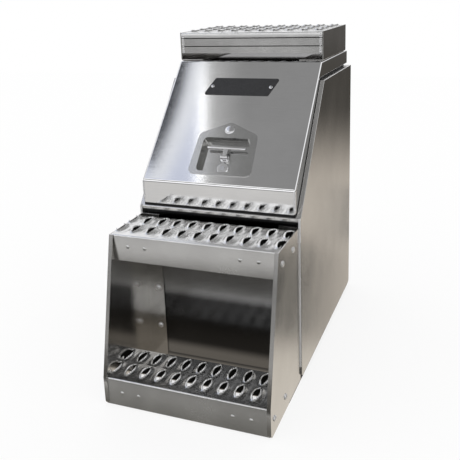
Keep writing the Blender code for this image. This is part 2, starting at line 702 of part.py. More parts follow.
def hinge_leaf_lid():
    back = BOX_DEPTH - LID_SHEET - SEAT
    edge = HINGE_HEIGHT + KNUCKLE_RADIUS + KNUCKLE_GAP
    return hinge_leaf("hinge_leaf_lid", (back - HINGE_LEAF, edge), (back, edge + LID_LEAF_HEIGHT),
                      (back - HINGE_LEAF, edge - KNUCKLE_RADIUS / 2), (back, edge + HINGE_LEAF), 1)


def hinge_pin():
    half = HINGE_LENGTH / 2
    pin = rod("hinge_pin", HINGE_PIN_RADIUS, -half, half)
    return moved(pin, along((1, 0, 0), (0, HINGE_BACK, HINGE_HEIGHT)))


def leaf_side():
    """One side of a leaf-shaped opening, rear tip to front tip, with its raised and toothed lip."""
    side = []
    for step in range(LEAF_STEPS + 1):
        share = 1 - 2 * step / LEAF_STEPS
        at_tip = step in (0, LEAF_STEPS)
        rise = TIP_RISE if at_tip else LIP_RISE - TOOTH * (step % 2 == 0)
        side.append(Vector((LEAF_WIDTH / 2 * (1 - share ** 2), LEAF_LENGTH / 2 * share, rise)))
    return side


def cell_side(pitch):
    """The half outline of one opening's cell, point for point with the side of the opening."""
    intervals = LEAF_STEPS - 2
    side = [Vector((pitch / 2, ROW_PITCH * (0.5 - step / intervals), 0)) for step in range(intervals + 1)]
    return [Vector((0, ROW_PITCH / 2, 0)), *side, Vector((0, -ROW_PITCH / 2, 0))]


def half_cell(centre, sign, pitch):
    """The faces between one side of an opening and the edge of its cell."""
    flip = Matrix.Diagonal((sign, 1, 1))
    opening = [centre + flip @ point for point in leaf_side()]
    border = [centre + flip @ point for point in cell_side(pitch)]
    return [(opening[i], opening[i + 1], border[i + 1], border[i]) for i in range(LEAF_STEPS)]


def notch_strips(centre, end):
    """The two strips beside an opening that runs out through the end of the plank."""
    strips = []
    for sign in (-1, 1):
        tip = centre + Vector((0, sign * LEAF_LENGTH / 2, TIP_RISE))
        border = centre + Vector((0, sign * ROW_PITCH / 2, 0))
        strips.append((tip, Vector((end, tip.y, tip.z)), Vector((end, border.y, 0)), border))
    return strips


def plank_edge(stations, edge, pattern_edge):
    """Margin, bend and flange along the front or rear of a plank."""
    path = [Vector((edge, -PLANK_FLANGE)), Vector((edge, 0)), Vector((pattern_edge, 0))]
    line = rounded(path, [0, PLANK_BEND, 0], closed=False)
    faces = []
    for (back_a, up_a), (back_b, up_b) in zip(line[1:], line[2:]):
        for left, right in zip(stations, stations[1:]):
            faces.append((Vector((left, back_a, up_a)), Vector((right, back_a, up_a)),
                          Vector((right, back_b, up_b)), Vector((left, back_b, up_b))))
    top = [Vector((across, *line[1])) for across in stations]
    foot = [Vector((across, *line[0])) for across in (stations[-1], stations[0])]
    faces.append(tuple(top + foot))
    return faces


def grip_plank(name, half, depth, columns, pitch, notched):
    """A formed grip plank: rows of toothed openings with raised lips, and a flange down each long edge."""
    faces = []
    rows = int((depth - 2 * PLANK_BEND) / ROW_PITCH)
    stations = [pitch / 2 * step for step in range(-columns, columns + 1)]
    first = -(columns - 1) / 2
    ends = ((columns + 1) / 2 * pitch, half)
    for row in range(rows):
        back = depth / 2 + ROW_PITCH * (row - (rows - 1) / 2)
        for column in range(columns):
            centre = Vector(((first + column) * pitch, back, 0))
            faces += half_cell(centre, 1, pitch) + half_cell(centre, -1, pitch)
        for sign in (-1, 1) if notched else ():
            centre = Vector((sign * ends[0], back, 0))
            faces += half_cell(centre, -sign, pitch) + notch_strips(centre, sign * half)
    if notched:
        stations = [-half, -ends[0], *stations, ends[0], half]
    pattern = ROW_PITCH * rows / 2
    faces += plank_edge(stations, 0, depth / 2 - pattern)
    faces += plank_edge(stations, depth, depth / 2 + pattern)
    bm = bmesh.new()
    for face in faces:
        bm.faces.new([bm.verts.new(point) for point in face])
    bmesh.ops.remove_doubles(bm, verts=bm.verts, dist=0.01 * MM)
    bmesh.ops.recalc_face_normals(bm, faces=bm.faces)
    if sum(face.normal.z for face in bm.faces) < 0:
        bmesh.ops.reverse_faces(bm, faces=bm.faces)
    mesh = bpy.data.meshes.new(name)
    bm.to_mesh(mesh)
    bm.free()
    plank = bpy.data.objects.new(name, mesh)
    bpy.context.scene.collection.objects.link(plank)
    wall = plank.modifiers.new("sheet", "SOLIDIFY")
    wall.thickness = PLANK_SHEET
    wall.offset = -1
    wall.use_even_offset = True
    return plank


def step_plank(name, front, top):
    """A step's plank, whose end openings run out through its ends."""
    half = STEP_INNER - SEAT
    columns = int(2 * half / LEAF_PITCH) - 1
    plank = grip_plank(name, half, PLANK_DEPTH, columns, LEAF_PITCH, True)
    return moved(plank, Matrix.Translation((0, front, top)))


def top_tread():
    """The plank on the lid, whose openings all lie inside its ends."""
    half = TOP_TREAD_HALF - TOP_END_SHEET - SEAT
    columns = round(2 * half / LEAF_PITCH)
    plank = grip_plank("top_tread", half, TOP_TREAD_DEPTH, columns, 2 * half / columns, False)
    return moved(plank, Matrix.Translation((0, TOP_TREAD_FRONT, TOP_TREAD_TOP)))


def top_tread_end(side):
    """Upright at one end of the top tread, with a foot turned in along the lid."""
    foot = LID_TOP + SEAT
    edge = TOP_TREAD_HALF
    path = [Vector((edge - TOP_FOOT, foot)), Vector((edge, foot)), Vector((edge, TOP_TREAD_TOP))]
    section = bent_sheet(path, TOP_END_SHEET, [0, BOX_BEND, 0])
    end = prism(f"top_tread_end_{side}", section, "Y", TOP_TREAD_FRONT, TOP_TREAD_FRONT + TOP_TREAD_DEPTH)
    return mirrored(end, side)


def step_outline():
    corners = [(-STEP_REACH, 0), (-SEAT, 0), (-SEAT, STEP_TOP), (-STEP_TOP_REACH, STEP_TOP),
               (-STEP_REACH, STEP_KNEE)]
    return rounded([Vector(corner) for corner in corners], [STEP_CORNER, 0, 0, 0, 0])


def step_side(side):
    """Side plate of the step frame, with a bolting flange at the back and a hem down its front edge."""
    plate = prism(f"step_side_{side}", step_outline(), "X", STEP_HALF - STEP_FLANGE, STEP_HALF)
    ahead = -STEP_REACH - REACH
    above = STEP_TOP + REACH
    back = -SEAT - STEP_SHEET
    beside_flange = [(ahead, -REACH), (back, -REACH), (back, above), (ahead, above)]
    clear = prism("clear", [Vector(corner) for corner in beside_flange], "X", STEP_HALF - STEP_FLANGE - REACH,
                  STEP_HALF - STEP_HEM)
    cut(plate, clear)
    hem_path = shifted([Vector((-STEP_REACH, -REACH)), Vector((-STEP_REACH, STEP_KNEE)),
                        Vector((-STEP_TOP_REACH, STEP_TOP)),
                        Vector((-STEP_TOP_REACH, STEP_TOP)) + STEP_FACE * REACH], -STEP_SHEET)
    behind_hem = hem_path + [Vector((back, hem_path[-1].y)), Vector((back, -REACH))]
    cut(plate, prism("behind_hem", behind_hem, "X", STEP_HALF - STEP_HEM - REACH, STEP_INNER))
    for height in FRAME_BOLT_HEIGHTS:
        cut(plate, bolt_hole(FRAME_BOLT_ACROSS, height))
    for back_place, height in side_bolt_places():
        hole = rod("hole", BOLT_RADIUS + SEAT, -REACH, REACH)
        cut(plate, moved(hole, along((1, 0, 0), (STEP_HALF, back_place, height))))
    return mirrored(plate, side)


def plank_fronts():
    """Front and top of each step plank, behind the hem of the side plates."""
    return {"upper": (HEM_DEPTH - STEP_TOP_REACH, STEP_TOP), "lower": (HEM_DEPTH - STEP_REACH, STEP_KNEE)}


def side_bolt_places():
    return [(front + along_side, top - BRACKET_DROP)
            for front, top in plank_fronts().values() for along_side in BRACKET_BOLTS]


def bracket(name, front, top, side):
    """Angle inside one end of a step plank, from its front flange to the side plate."""
    outer = STEP_INNER - SEAT
    face = front + BRACKET_FRONT
    path = [Vector((outer - BRACKET_FRONT_LEG, face)), Vector((outer, face)),
            Vector((outer, face + BRACKET_SIDE_LEG))]
    section = bent_sheet(path, BRACKET_SHEET, [0, BOX_BEND, 0])
    middle = top - BRACKET_DROP
    angle = prism(name, section, "Z", middle - BRACKET_HEIGHT / 2, middle + BRACKET_HEIGHT / 2)
    for place in BRACKET_BOLTS:
        hole = rod("hole", BOLT_RADIUS + SEAT, -REACH, REACH)
        cut(angle, moved(hole, along((1, 0, 0), (outer, front + place, middle))))
    return mirrored(angle, side)


def bolt(name, grip):
    """Domed bolt on Z, its head on the origin and its shank running down through a grip and a nut."""
    end = -grip - NUT_HEIGHT - BOLT_END
    shank = [(0, end), (BOLT_RADIUS, end), (BOLT_RADIUS, SEAT)]
    return turned(name, shank + dome(BOLT_HEAD_RADIUS, SEAT, BOLT_HEAD_HEIGHT), 12)


def fasten(name, place, axis, grip, parent):
    """One bolt with its nut."""
    matrix = along(axis, place)
    dressed(moved(bolt(f"{name}_bolt", grip), matrix), "steel", parent, True)
    seat = Matrix.Translation((0, 0, -grip - SEAT - NUT_HEIGHT))
    dressed(moved(nut(f"{name}_nut", NUT_RADIUS, BOLT_RADIUS, NUT_HEIGHT), matrix @ seat), "steel", parent)


def build_box(carrier):
    for side in ("left", "right"):
        dressed(side_panel(side), "sheet", carrier)
    dressed(body_wrap(), "sheet", carrier)
    dressed(jamb_seal(), "rubber", carrier)
    dressed(hinge_leaf_body(), "steel", carrier, True)
    dressed(hinge_pin(), "steel", carrier, True)


def build_steps(carrier):
    for side in ("left", "right"):
        dressed(step_side(side), "sheet", carrier)
    for name, (front, top) in plank_fronts().items():
        dressed(step_plank(f"{name}_tread", front, top), "grip", carrier)
        for side, sign in (("left", -1), ("right", 1)):
            dressed(bracket(f"{name}_bracket_{side}", front, top, side), "sheet", carrier)
            for number, place in enumerate(BRACKET_BOLTS, 1):
                point = (sign * STEP_HALF, front + place, top - BRACKET_DROP)
                grip = STEP_SHEET + SEAT + BRACKET_SHEET
                fasten(f"{name}_{side}_{number}", point, (sign, 0, 0), grip, carrier)
    for side, sign in (("left", -1), ("right", 1)):
        for level, height in zip(("low", "high"), FRAME_BOLT_HEIGHTS):
            point = (sign * FRAME_BOLT_ACROSS, -SEAT - STEP_SHEET, height)
            fasten(f"frame_{side}_{level}", point, (0, -1, 0), STEP_SHEET + SEAT + BOX_SHEET, carrier)


def build_lid(carrier):
    """The lid and all it carries, hung on an empty whose origin is on the hinge's axis."""
    axis = guide("lid_axis", (0, HINGE_BACK, HINGE_HEIGHT), 0, carrier)
    back = Matrix.Translation((0, -HINGE_BACK, -HINGE_HEIGHT))
    dressed(moved(lid_pan(), back), "polished", axis)
    dressed(moved(hinge_leaf_lid(), back), "steel", axis, True)
    dressed(moved(top_tread(), back), "grip", axis)
    for side in ("left", "right"):
        dressed(moved(top_tread_end(side), back), "sheet", axis)
    tilt = math.atan2(FACE.y, FACE.x)
    face = guide("lid_face", (0, -HINGE_BACK, NOSE_HEIGHT - HINGE_HEIGHT), tilt, axis)
    dressed(nameplate(), "black_plate", face)
    dressed(latch_tray(), "polished", face)
    peak = Matrix.Translation((0, TRAY_BOLT_UP, 0))
    dressed(moved(tray_bolt(), peak), "steel", face, True)
    under = peak @ Matrix.Translation((0, 0, -LID_SHEET - SEAT - NUT_HEIGHT))
    dressed(moved(nut("tray_nut", NUT_RADIUS, TRAY_BOLT_RADIUS, NUT_HEIGHT), under), "steel", face)
    build_latch(face)


def build_latch(face):
    """Spindle, handle and lock, each on an empty on the axis it turns about."""
    turn = guide("spindle_axis", (0, SPINDLE_UP, LATCH_SEAT), 0, face)
    dressed(spindle(), "steel", turn, True)
    dressed(cam(), "steel", turn)
    under = Matrix.Translation((0, 0, -cam_depth() - CAM_SHEET - SEAT - CAM_NUT_HEIGHT))
    dressed(moved(nut("cam_nut", CAM_NUT_RADIUS, SPINDLE_RADIUS, CAM_NUT_HEIGHT), under), "steel", turn)
    dressed(handle_pin(), "steel", turn, True)
    fold = guide("handle_axis", (0, 0, LEVER_HEIGHT), 0, turn)
    dressed(t_handle(), "chrome", fold, True)
    dressed(moved(lock_housing(), Matrix.Translation((0, LOCK_UP, LATCH_SEAT))), "chrome", face, True)
    key = guide("lock_axis", (0, LOCK_UP, LATCH_SEAT), 0, face)
    dressed(lock_plug(), "steel", key, True)


def main():
    clear_scene()
    carrier = guide("step_box", (0, -CENTRE_BACK, 0), 0, None)
    build_box(carrier)
    build_steps(carrier)
    build_lid(carrier)
    bpy.context.view_layer.update()


main()
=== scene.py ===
# %% [markdown]
# # A truck step box in aluminium
#
# The construction model already holds this box's folded sheets, planks, bolts and latch at their real
# size. This lesson dresses it. Sheets get rounded rims, the grip planks are made anew with finer teeth and
# deeper flanges, rivets and welds are added, and each metal gets its own finish. Every new piece takes its
# place from the model's own pieces.

# %% Load the construction model
import math

import bpy
from mathutils import Matrix, Vector
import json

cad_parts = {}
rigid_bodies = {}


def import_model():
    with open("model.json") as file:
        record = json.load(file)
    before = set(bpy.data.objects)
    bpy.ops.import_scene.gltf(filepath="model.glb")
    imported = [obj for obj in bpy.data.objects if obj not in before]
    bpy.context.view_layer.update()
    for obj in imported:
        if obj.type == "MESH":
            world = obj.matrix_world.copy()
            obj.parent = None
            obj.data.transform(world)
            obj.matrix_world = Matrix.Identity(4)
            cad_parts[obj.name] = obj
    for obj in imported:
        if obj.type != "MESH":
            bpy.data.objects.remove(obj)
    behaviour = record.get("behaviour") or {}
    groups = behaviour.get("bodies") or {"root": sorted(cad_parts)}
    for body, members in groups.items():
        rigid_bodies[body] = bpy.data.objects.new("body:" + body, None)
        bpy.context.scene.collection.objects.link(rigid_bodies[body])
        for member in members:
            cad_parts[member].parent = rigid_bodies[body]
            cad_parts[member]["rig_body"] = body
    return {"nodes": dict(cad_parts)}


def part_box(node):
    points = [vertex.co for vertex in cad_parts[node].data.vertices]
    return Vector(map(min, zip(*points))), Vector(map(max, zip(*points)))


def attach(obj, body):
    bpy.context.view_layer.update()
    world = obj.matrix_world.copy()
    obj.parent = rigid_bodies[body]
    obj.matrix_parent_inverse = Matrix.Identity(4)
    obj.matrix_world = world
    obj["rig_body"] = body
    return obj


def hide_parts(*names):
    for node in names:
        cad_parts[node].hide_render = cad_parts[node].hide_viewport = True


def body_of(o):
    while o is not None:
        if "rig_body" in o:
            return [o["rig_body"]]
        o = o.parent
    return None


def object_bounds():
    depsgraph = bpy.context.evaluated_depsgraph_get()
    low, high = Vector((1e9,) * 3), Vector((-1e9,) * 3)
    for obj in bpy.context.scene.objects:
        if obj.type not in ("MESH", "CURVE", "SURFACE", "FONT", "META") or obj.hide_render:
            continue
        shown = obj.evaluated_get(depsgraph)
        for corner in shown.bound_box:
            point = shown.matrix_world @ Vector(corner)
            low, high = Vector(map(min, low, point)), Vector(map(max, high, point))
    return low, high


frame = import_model()
cad_low, cad_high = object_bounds()
MM = 0.001
print("nodes", len(frame["nodes"]), "box", [round(value, 3) for value in (*cad_low, *cad_high)])

# %% [markdown]
# Shader maths reads best as plain expressions. A small class wraps one output socket of a node tree, and
# its operators add Math nodes. Every other node comes from one method, which takes the node's type, its
# settings and what goes into its sockets.


# %% A socket that does arithmetic
class Wire:
    """One output socket of a node tree. Its operators add Math nodes."""

    def __init__(self, tree, socket):
        self.tree = tree
        self.socket = socket

    def maths(self, operation, *values):
        return add_node(self.tree, "ShaderNodeMath", {"operation": operation}, dict(enumerate(values)))

    def __add__(self, other):
        return self.maths("ADD", self, other)

    __radd__ = __add__

    def __sub__(self, other):
        return self.maths("SUBTRACT", self, other)

    def __rsub__(self, other):
        return self.maths("SUBTRACT", other, self)

    def __mul__(self, other):
        return self.maths("MULTIPLY", self, other)

    __rmul__ = __mul__

    def step(self, start, end):
        """0 below start, 1 above end, and smooth between them."""
        values = {"Value": self, "From Min": start, "From Max": end}
        return add_node(self.tree, "ShaderNodeMapRange", {"interpolation_type": "SMOOTHSTEP"}, values)

    def band(self, low, high, soft):
        """1 between low and high, falling to 0 over a soft width on each side."""
        return self.step(low - soft, low + soft) * (1 - self.step(high - soft, high + soft))


def add_node(tree, kind, settings=None, inputs=None, output=0):
    """A new node with its settings made first, then its sockets' values or links."""
    node = tree.nodes.new(kind)
    for name, value in (settings or {}).items():
        setattr(node, name, value)
    for name, value in (inputs or {}).items():
        if isinstance(value, Wire):
            tree.links.new(value.socket, node.inputs[name])
        else:
            node.inputs[name].default_value = value
    return Wire(tree, node.outputs[output])


def mixed(tree, factor, first, second):
    """Two colours mixed by a factor."""
    colours = {0: factor, 6: first, 7: second}
    return add_node(tree, "ShaderNodeMix", {"data_type": "RGBA"}, colours, output=2)


def grey(value):
    return (value, value, value, 1)


def split(vector):
    """The three parts of a vector."""
    first = add_node(vector.tree, "ShaderNodeSeparateXYZ", {}, {0: vector})
    return [Wire(vector.tree, socket) for socket in first.socket.node.outputs]


# %% [markdown]
# Rolled sheet is never a perfect mirror. It has long fine lines from the rolls, faint clouds where oil
# and oxide changed the gloss, and a slight waviness that bends reflections. One function makes all the
# metals from those three, and each metal only says how strong they are. A metal may also hold a list of
# boxes inside which its colour turns dark, as painted shade where the box lies in shadow.


# %% Metals
def noise(tree, place, scale, detail=2.0, stretch=(1, 1, 1)):
    """A noise value over the piece, stretched along its axes."""
    moved = add_node(tree, "ShaderNodeMapping", {}, {"Vector": place, "Scale": stretch})
    return add_node(tree, "ShaderNodeTexNoise", {}, {"Vector": moved, "Scale": scale, "Detail": detail})


def new_material(name):
    """A new material with its node tree, its shader and the piece's own coordinates."""
    made = bpy.data.materials.new(name)
    made.use_nodes = True
    tree = made.node_tree
    return made, tree, tree.nodes["Principled BSDF"], add_node(tree, "ShaderNodeTexCoord", output=3)


def metal(name, colour, roughness, lines=0.0, cloud=0.0, wave=0.0, stretch=(1, 1, 60), tint=0.04, painted_shade=()):
    """A metal with rolling lines, clouds in its gloss and a wavy surface.

    The last argument holds boxes of painted shade, where the colour turns dark in place of shadow.
    Each holds two opposite corners, how soft its edges are, and its shade.
    """
    made, tree, shader, place = new_material(name)
    shader.inputs["Metallic"].default_value = 1.0
    clouds = noise(tree, place, 9.0, 3.0)
    specks = noise(tree, place, 160.0, 2.0)
    fine = noise(tree, place, 34.0, 4.0, stretch)
    gloss = roughness + (clouds - 0.5) * cloud + (fine - 0.5) * lines * 0.25 + (specks - 0.5) * cloud * 0.3
    tree.links.new(gloss.socket, shader.inputs["Roughness"])
    darker = tuple(channel * (1 - tint * 3) for channel in colour)
    lighter = tuple(min(1, channel * (1 + tint)) for channel in colour)
    shade = mixed(tree, (clouds * 0.6 + fine * 0.4).step(0.3, 0.7), (*darker, 1), (*lighter, 1))
    # Each box mixes the colour toward its grey, as painted shade.
    for low, high, soft, painted_grey in painted_shade:
        inside = [part.band(start, end, soft) for part, start, end in zip(split(place), low, high)]
        shade = mixed(tree, inside[0] * inside[1] * inside[2], shade, grey(painted_grey))
    tree.links.new(shade.socket, shader.inputs["Base Color"])
    swell = noise(tree, place, 4.0, 1.0)
    height = fine * lines * 0.02 + swell * wave + specks * cloud * 0.01
    bump = add_node(tree, "ShaderNodeBump", {}, {"Height": height, "Strength": 0.5, "Distance": 0.01})
    tree.links.new(bump.socket, shader.inputs["Normal"])
    return made


STEP_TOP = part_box("step_side_left")[1].z
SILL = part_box("jamb_seal")[0].z
BOX_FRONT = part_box("body_wrap")[0].y
LID_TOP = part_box("lid_pan")[1].z
TREAD_LOW, TREAD_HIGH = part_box("top_tread")
FLANGE_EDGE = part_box("step_side_right")[0].x + 0.3 * MM
WALL_SKIN = BOX_FRONT + 4 * MM
# Where the painted shade under the sill meets the painted shade on the wall behind the steps.
SHADE_SPLIT = STEP_TOP - 14 * MM
FAR = 1.0
# Painted shade on the inner faces of the step sides, darkest level with the wall's darkest painted shade.
FLANGE_PAINTED_SHADE = [
    ((-FLANGE_EDGE, -FAR, -FAR), (FLANGE_EDGE, BOX_FRONT - 2 * MM, FAR), 0.2 * MM, 0.09),
    ((-FLANGE_EDGE, -FAR, 120 * MM), (FLANGE_EDGE, FAR, 230 * MM), 0.2 * MM, 0.03)]
# Painted shade on the wall under the sill, on the wall behind the steps, and more of it low on that wall.
WALL_PAINTED_SHADE = [
    ((-FAR, -FAR, SHADE_SPLIT), (FAR, WALL_SKIN, SILL - 9 * MM), 2 * MM, 0.02),
    ((-FAR, -FAR, -FAR), (FAR, WALL_SKIN, SHADE_SPLIT), 2 * MM, 0.50),
    ((-FAR, -FAR, 50 * MM), (FAR, BOX_FRONT + 20 * MM, 208 * MM), 16 * MM, 0.075)]
# Painted shade on the lid's level top, under the top tread.
LID_PAINTED_SHADE = [
    ((TREAD_LOW.x + 25 * MM, TREAD_LOW.y - 4 * MM, LID_TOP - 5 * MM), (TREAD_HIGH.x, TREAD_HIGH.y, FAR),
     3 * MM, 0.11)]
# Step, wall and polished sheet carry boxes of painted shade; step sheet is mill sheet with painted shade.
MILL_SHEET = metal("mill_sheet", (0.74, 0.73, 0.71), 0.18, lines=0.3, cloud=0.10, wave=0.05)
STEP_SHEET = metal("step_sheet", (0.74, 0.73, 0.71), 0.18, lines=0.3, cloud=0.10, wave=0.05, painted_shade=FLANGE_PAINTED_SHADE)
WALL_SHEET = metal("wall_sheet", (0.72, 0.71, 0.69), 0.2, lines=0.3, cloud=0.10, wave=0.03, painted_shade=WALL_PAINTED_SHADE)
POLISHED_SHEET = metal("polished_sheet", (0.88, 0.88, 0.88), 0.055, lines=0.2, cloud=0.03, wave=0.008,
                       stretch=(0.6, 30, 30), tint=0.02, painted_shade=LID_PAINTED_SHADE)
GRIP_SHEET = metal("grip_sheet", (0.88, 0.88, 0.87), 0.25, lines=0.2, cloud=0.11, tint=0.05)
# Near-black painted shade for the planks' inner skin, where no light reaches.
PLANK_INSIDE = metal("plank_inside", (0.02, 0.02, 0.019), 0.5, cloud=0.1)
TRAY_SHEET = metal("tray_sheet", (0.58, 0.58, 0.57), 0.12, lines=0.2, cloud=0.06, wave=0.01)
BRIGHT_STEEL = metal("bright_steel", (0.84, 0.84, 0.85), 0.2, cloud=0.12)
ZINC = metal("zinc", (0.95, 0.95, 0.95), 0.45, cloud=0.1)
CHROME = metal("chrome_casting", (0.90, 0.90, 0.91), 0.06, cloud=0.04)
WELD_METAL = metal("weld_metal", (0.92, 0.92, 0.92), 0.3, cloud=0.2)
print("metals", len(bpy.data.materials))


# %% Rubber and the bare black plate
def matt(name, colour, roughness, grain, depth):
    """A matt material with a fine grain."""
    made, tree, shader, place = new_material(name)
    grains = noise(tree, place, grain, 3.0)
    lighter = tuple(channel * 1.8 for channel in colour)
    shade = mixed(tree, grains.step(0.35, 0.75), (*colour, 1), (*lighter, 1))
    tree.links.new(shade.socket, shader.inputs["Base Color"])
    tree.links.new((roughness + (grains - 0.5) * 0.3).socket, shader.inputs["Roughness"])
    bump = add_node(tree, "ShaderNodeBump", {}, {"Height": grains, "Strength": 0.6, "Distance": depth})
    tree.links.new(bump.socket, shader.inputs["Normal"])
    return made


SEAL_RUBBER = matt("seal_rubber", (0.006, 0.006, 0.006), 0.8, 400.0, 0.0004)
BLACK_PLATE = matt("black_plate", (0.018, 0.018, 0.019), 0.42, 260.0, 0.0002)

# %% [markdown]
# Most steps below select one piece, run a few operators on it and give it a finish and a body.
# These helpers keep those steps short.


# %% Helpers for modelling
def take_only(piece):
    """Selects one object alone and makes it the active one."""
    bpy.ops.object.select_all(action="DESELECT")
    piece.select_set(True)
    bpy.context.view_layer.objects.active = piece


def edit(piece, *steps):
    """Runs edit-mode operators on all of a piece."""
    take_only(piece)
    bpy.ops.object.mode_set(mode="EDIT")
    bpy.ops.mesh.select_mode(type="VERT")
    bpy.ops.mesh.select_all(action="SELECT")
    for step in steps:
        step()
    bpy.ops.object.mode_set(mode="OBJECT")


def select_points(piece, test):
    """Selects the points that pass a test, ready for edit mode."""
    edit(piece, lambda: bpy.ops.mesh.select_all(action="DESELECT"))
    for vertex in piece.data.vertices:
        vertex.select = test(vertex.co)


def apply_all(piece):
    take_only(piece)
    for modifier in list(piece.modifiers):
        bpy.ops.object.modifier_apply(modifier=modifier.name)


def smooth(piece, degrees=35):
    """Smooth shading with flat faces kept flat, so that a rolled edge doesn't tilt the sheet beside it."""
    take_only(piece)
    bpy.ops.object.shade_smooth_by_angle(angle=math.radians(degrees))
    weighted = piece.modifiers.new("flat_faces", "WEIGHTED_NORMAL")
    weighted.weight = 100
    weighted.keep_sharp = True
    apply_all(piece)


def dress(piece, material, body, slot, *nodes):
    """Gives a finished piece its material, its body and the nodes that it stands for."""
    piece.data.materials.clear()
    piece.data.materials.append(material)
    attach(piece, body)
    if nodes:
        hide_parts(*nodes)
    return piece


# %% [markdown]
# A cut sheet always has a small round on its rims, which is what catches the light. The construction
# model's sheets have sharp rims, so each is copied, its triangles are merged into whole faces, and a Bevel
# modifier rounds the rims. The copy then stands for the original. The rims that the photograph shows as
# bright lines get the widest rounds.


# %% Copy a piece and round its rims
def rounded_copy(node, material, slot, width, segments=2):
    """A copy of a node with its triangles merged into faces and its sharp edges rounded."""
    source = frame["nodes"][node]
    piece = bpy.data.objects.new(f"{node}_rounded", source.data.copy())
    bpy.context.scene.collection.objects.link(piece)
    edit(piece, lambda: bpy.ops.mesh.remove_doubles(threshold=0.01 * MM),
         lambda: bpy.ops.mesh.dissolve_limited(angle_limit=math.radians(1)))
    bevel = piece.modifiers.new("rims", "BEVEL")
    bevel.width = width
    bevel.segments = segments
    bevel.limit_method = "ANGLE"
    bevel.angle_limit = math.radians(35)
    bevel.use_clamp_overlap = True
    apply_all(piece)
    smooth(piece)
    return dress(piece, material, body_of(source)[0], slot, node)


SHEET_RIM = 1.3 * MM
LID_RIM = 1.2 * MM
TRAY_RIM = 1.1 * MM
WALL_RIM = 0.7 * MM
CASTING_RIM = 0.5 * MM
SMALL_RIM = 0.3 * MM
RIM_STEPS = 3
SHEETS = ["side_panel_left", "side_panel_right", "step_side_left", "step_side_right",
          "top_tread_end_left", "top_tread_end_right", "upper_bracket_left", "upper_bracket_right",
          "lower_bracket_left", "lower_bracket_right"]
for node in SHEETS:
    # The step sides take the copy of mill sheet that holds painted shade.
    finish = STEP_SHEET if node.startswith("step") else MILL_SHEET
    rounded_copy(node, finish, "sheet", SHEET_RIM, RIM_STEPS)
rounded_copy("body_wrap", WALL_SHEET, "sheet", WALL_RIM)
rounded_copy("lid_pan", POLISHED_SHEET, "polished", LID_RIM, RIM_STEPS)
print("sheets", len(SHEETS) + 2)

# %% Round the latch's pieces
for node in ("t_handle", "lock_housing", "spindle"):
    rounded_copy(node, CHROME, "steel" if node == "spindle" else "chrome", CASTING_RIM)
rounded_copy("latch_tray", TRAY_SHEET, "polished", TRAY_RIM, RIM_STEPS)
for node in ("cam", "tray_bolt", "lock_plug", "handle_pin"):
    rounded_copy(node, BRIGHT_STEEL, "steel", SMALL_RIM)

# %% Finishes for the pieces that keep their shape
for node, item in frame["nodes"].items():
    if node.endswith(("_bolt", "_nut")) or node.startswith("hinge"):
        item.data.materials.clear()
        item.data.materials.append(ZINC)
for node, material in {"jamb_seal": SEAL_RUBBER, "nameplate": BLACK_PLATE}.items():
    frame["nodes"][node].data.materials.clear()
    frame["nodes"][node].data.materials.append(material)

# %% [markdown]
# A grip plank is one sheet, cut and pressed so that leaf-shaped holes stand up with toothed lips. One
# half cell holds the whole form: the sheet from a lip down into the strut beside it. A grid is bent into
# that half cell, a Mirror makes the hole, and two Arrays make the plank. Its ends are cut off, its edges
# are extruded into the folded flanges, and Solidify gives the sheet its thickness. Solidify also gives the
# inner skin a near-black colour, painted shade, because no light reaches the inside of a real plank.

# %% Sizes of the pressed pattern
PITCH = 43 * MM
ROW = 64.5 * MM
LEAF_LENGTH = 55 * MM
LEAF_WIDTH = 19 * MM
CAD_LIP = 5 * MM
STEP_LIP = 8 * MM
TOP_LIP = 6.5 * MM
TIP = 2 * MM
TOOTH = 2.6 * MM
PLANK_SHEET = 2.5 * MM
PLANK_BEND = 4 * MM
ACROSS = 6
TIP_STEPS = 2
LEAF_STEPS = 20
# A groove's points, as depth and rise from its middle. They start at its lower edge, so the sheet lies
# double beside each groove.
GROOVE = ((0, -1.3 * MM), (0.9 * MM, -0.5 * MM), (0.9 * MM, 0.5 * MM), (0, 1.3 * MM))
MERGE = 0.01 * MM


# %% One half cell of the pattern
def half_cell(name, pitch, lip_rise):
    """The sheet between a toothed lip and the middle of the strut beside it."""
    bpy.ops.object.select_all(action="DESELECT")
    along = LEAF_STEPS + 2 * TIP_STEPS
    bpy.ops.mesh.primitive_grid_add(x_subdivisions=ACROSS, y_subdivisions=along, size=1)
    cell = bpy.context.object
    cell.name = name
    for vertex in cell.data.vertices:
        out = vertex.co.x + 0.5
        step = round((vertex.co.y + 0.5) * along) - along / 2
        share = max(-1, min(1, step / (LEAF_STEPS / 2)))
        beyond = abs(step) - LEAF_STEPS / 2
        back = share * LEAF_LENGTH / 2
        if beyond > 0:
            back += math.copysign((ROW - LEAF_LENGTH) / 2 * beyond / TIP_STEPS, step)
        lip = LEAF_WIDTH / 2 * (1 - share ** 2)
        rise = TIP + (lip_rise - TIP) * (1 - share ** 2) ** 0.6
        if abs(share) < 1:
            rise -= TOOTH * (step % 2 == 0)
        else:
            rise *= 1 - max(0, beyond) / TIP_STEPS
        vertex.co = (lip + (pitch / 2 - lip) * out, back, rise * (1 - out) ** 2)
    return cell


def repeat(piece, name, count, offset):
    """Adds an Array whose copies share their edges."""
    copies = piece.modifiers.new(name, "ARRAY")
    copies.count = count
    copies.use_relative_offset = False
    copies.use_constant_offset = True
    copies.constant_offset_displace = offset
    copies.use_merge_vertices = True
    copies.merge_threshold = MERGE


# %% The folded edges
def fold_path(edge, inward, top, bottom, grooves=()):
    """The points that a plank's long edge passes through, from its flat top down its flange.

    Inward is 1 where the plank lies towards +Y of this edge, and -1 where it lies towards -Y.
    """
    path = []
    for step in range(5):
        turn = math.radians(90 * step / 4)
        back = edge + inward * PLANK_BEND * (1 - math.sin(turn))
        path.append((back, top - PLANK_BEND * (1 - math.cos(turn))))
    for drop in grooves:
        for depth, rise in GROOVE:
            path.append((edge + inward * depth, top - drop + rise))
    path.append((edge, bottom))
    return path


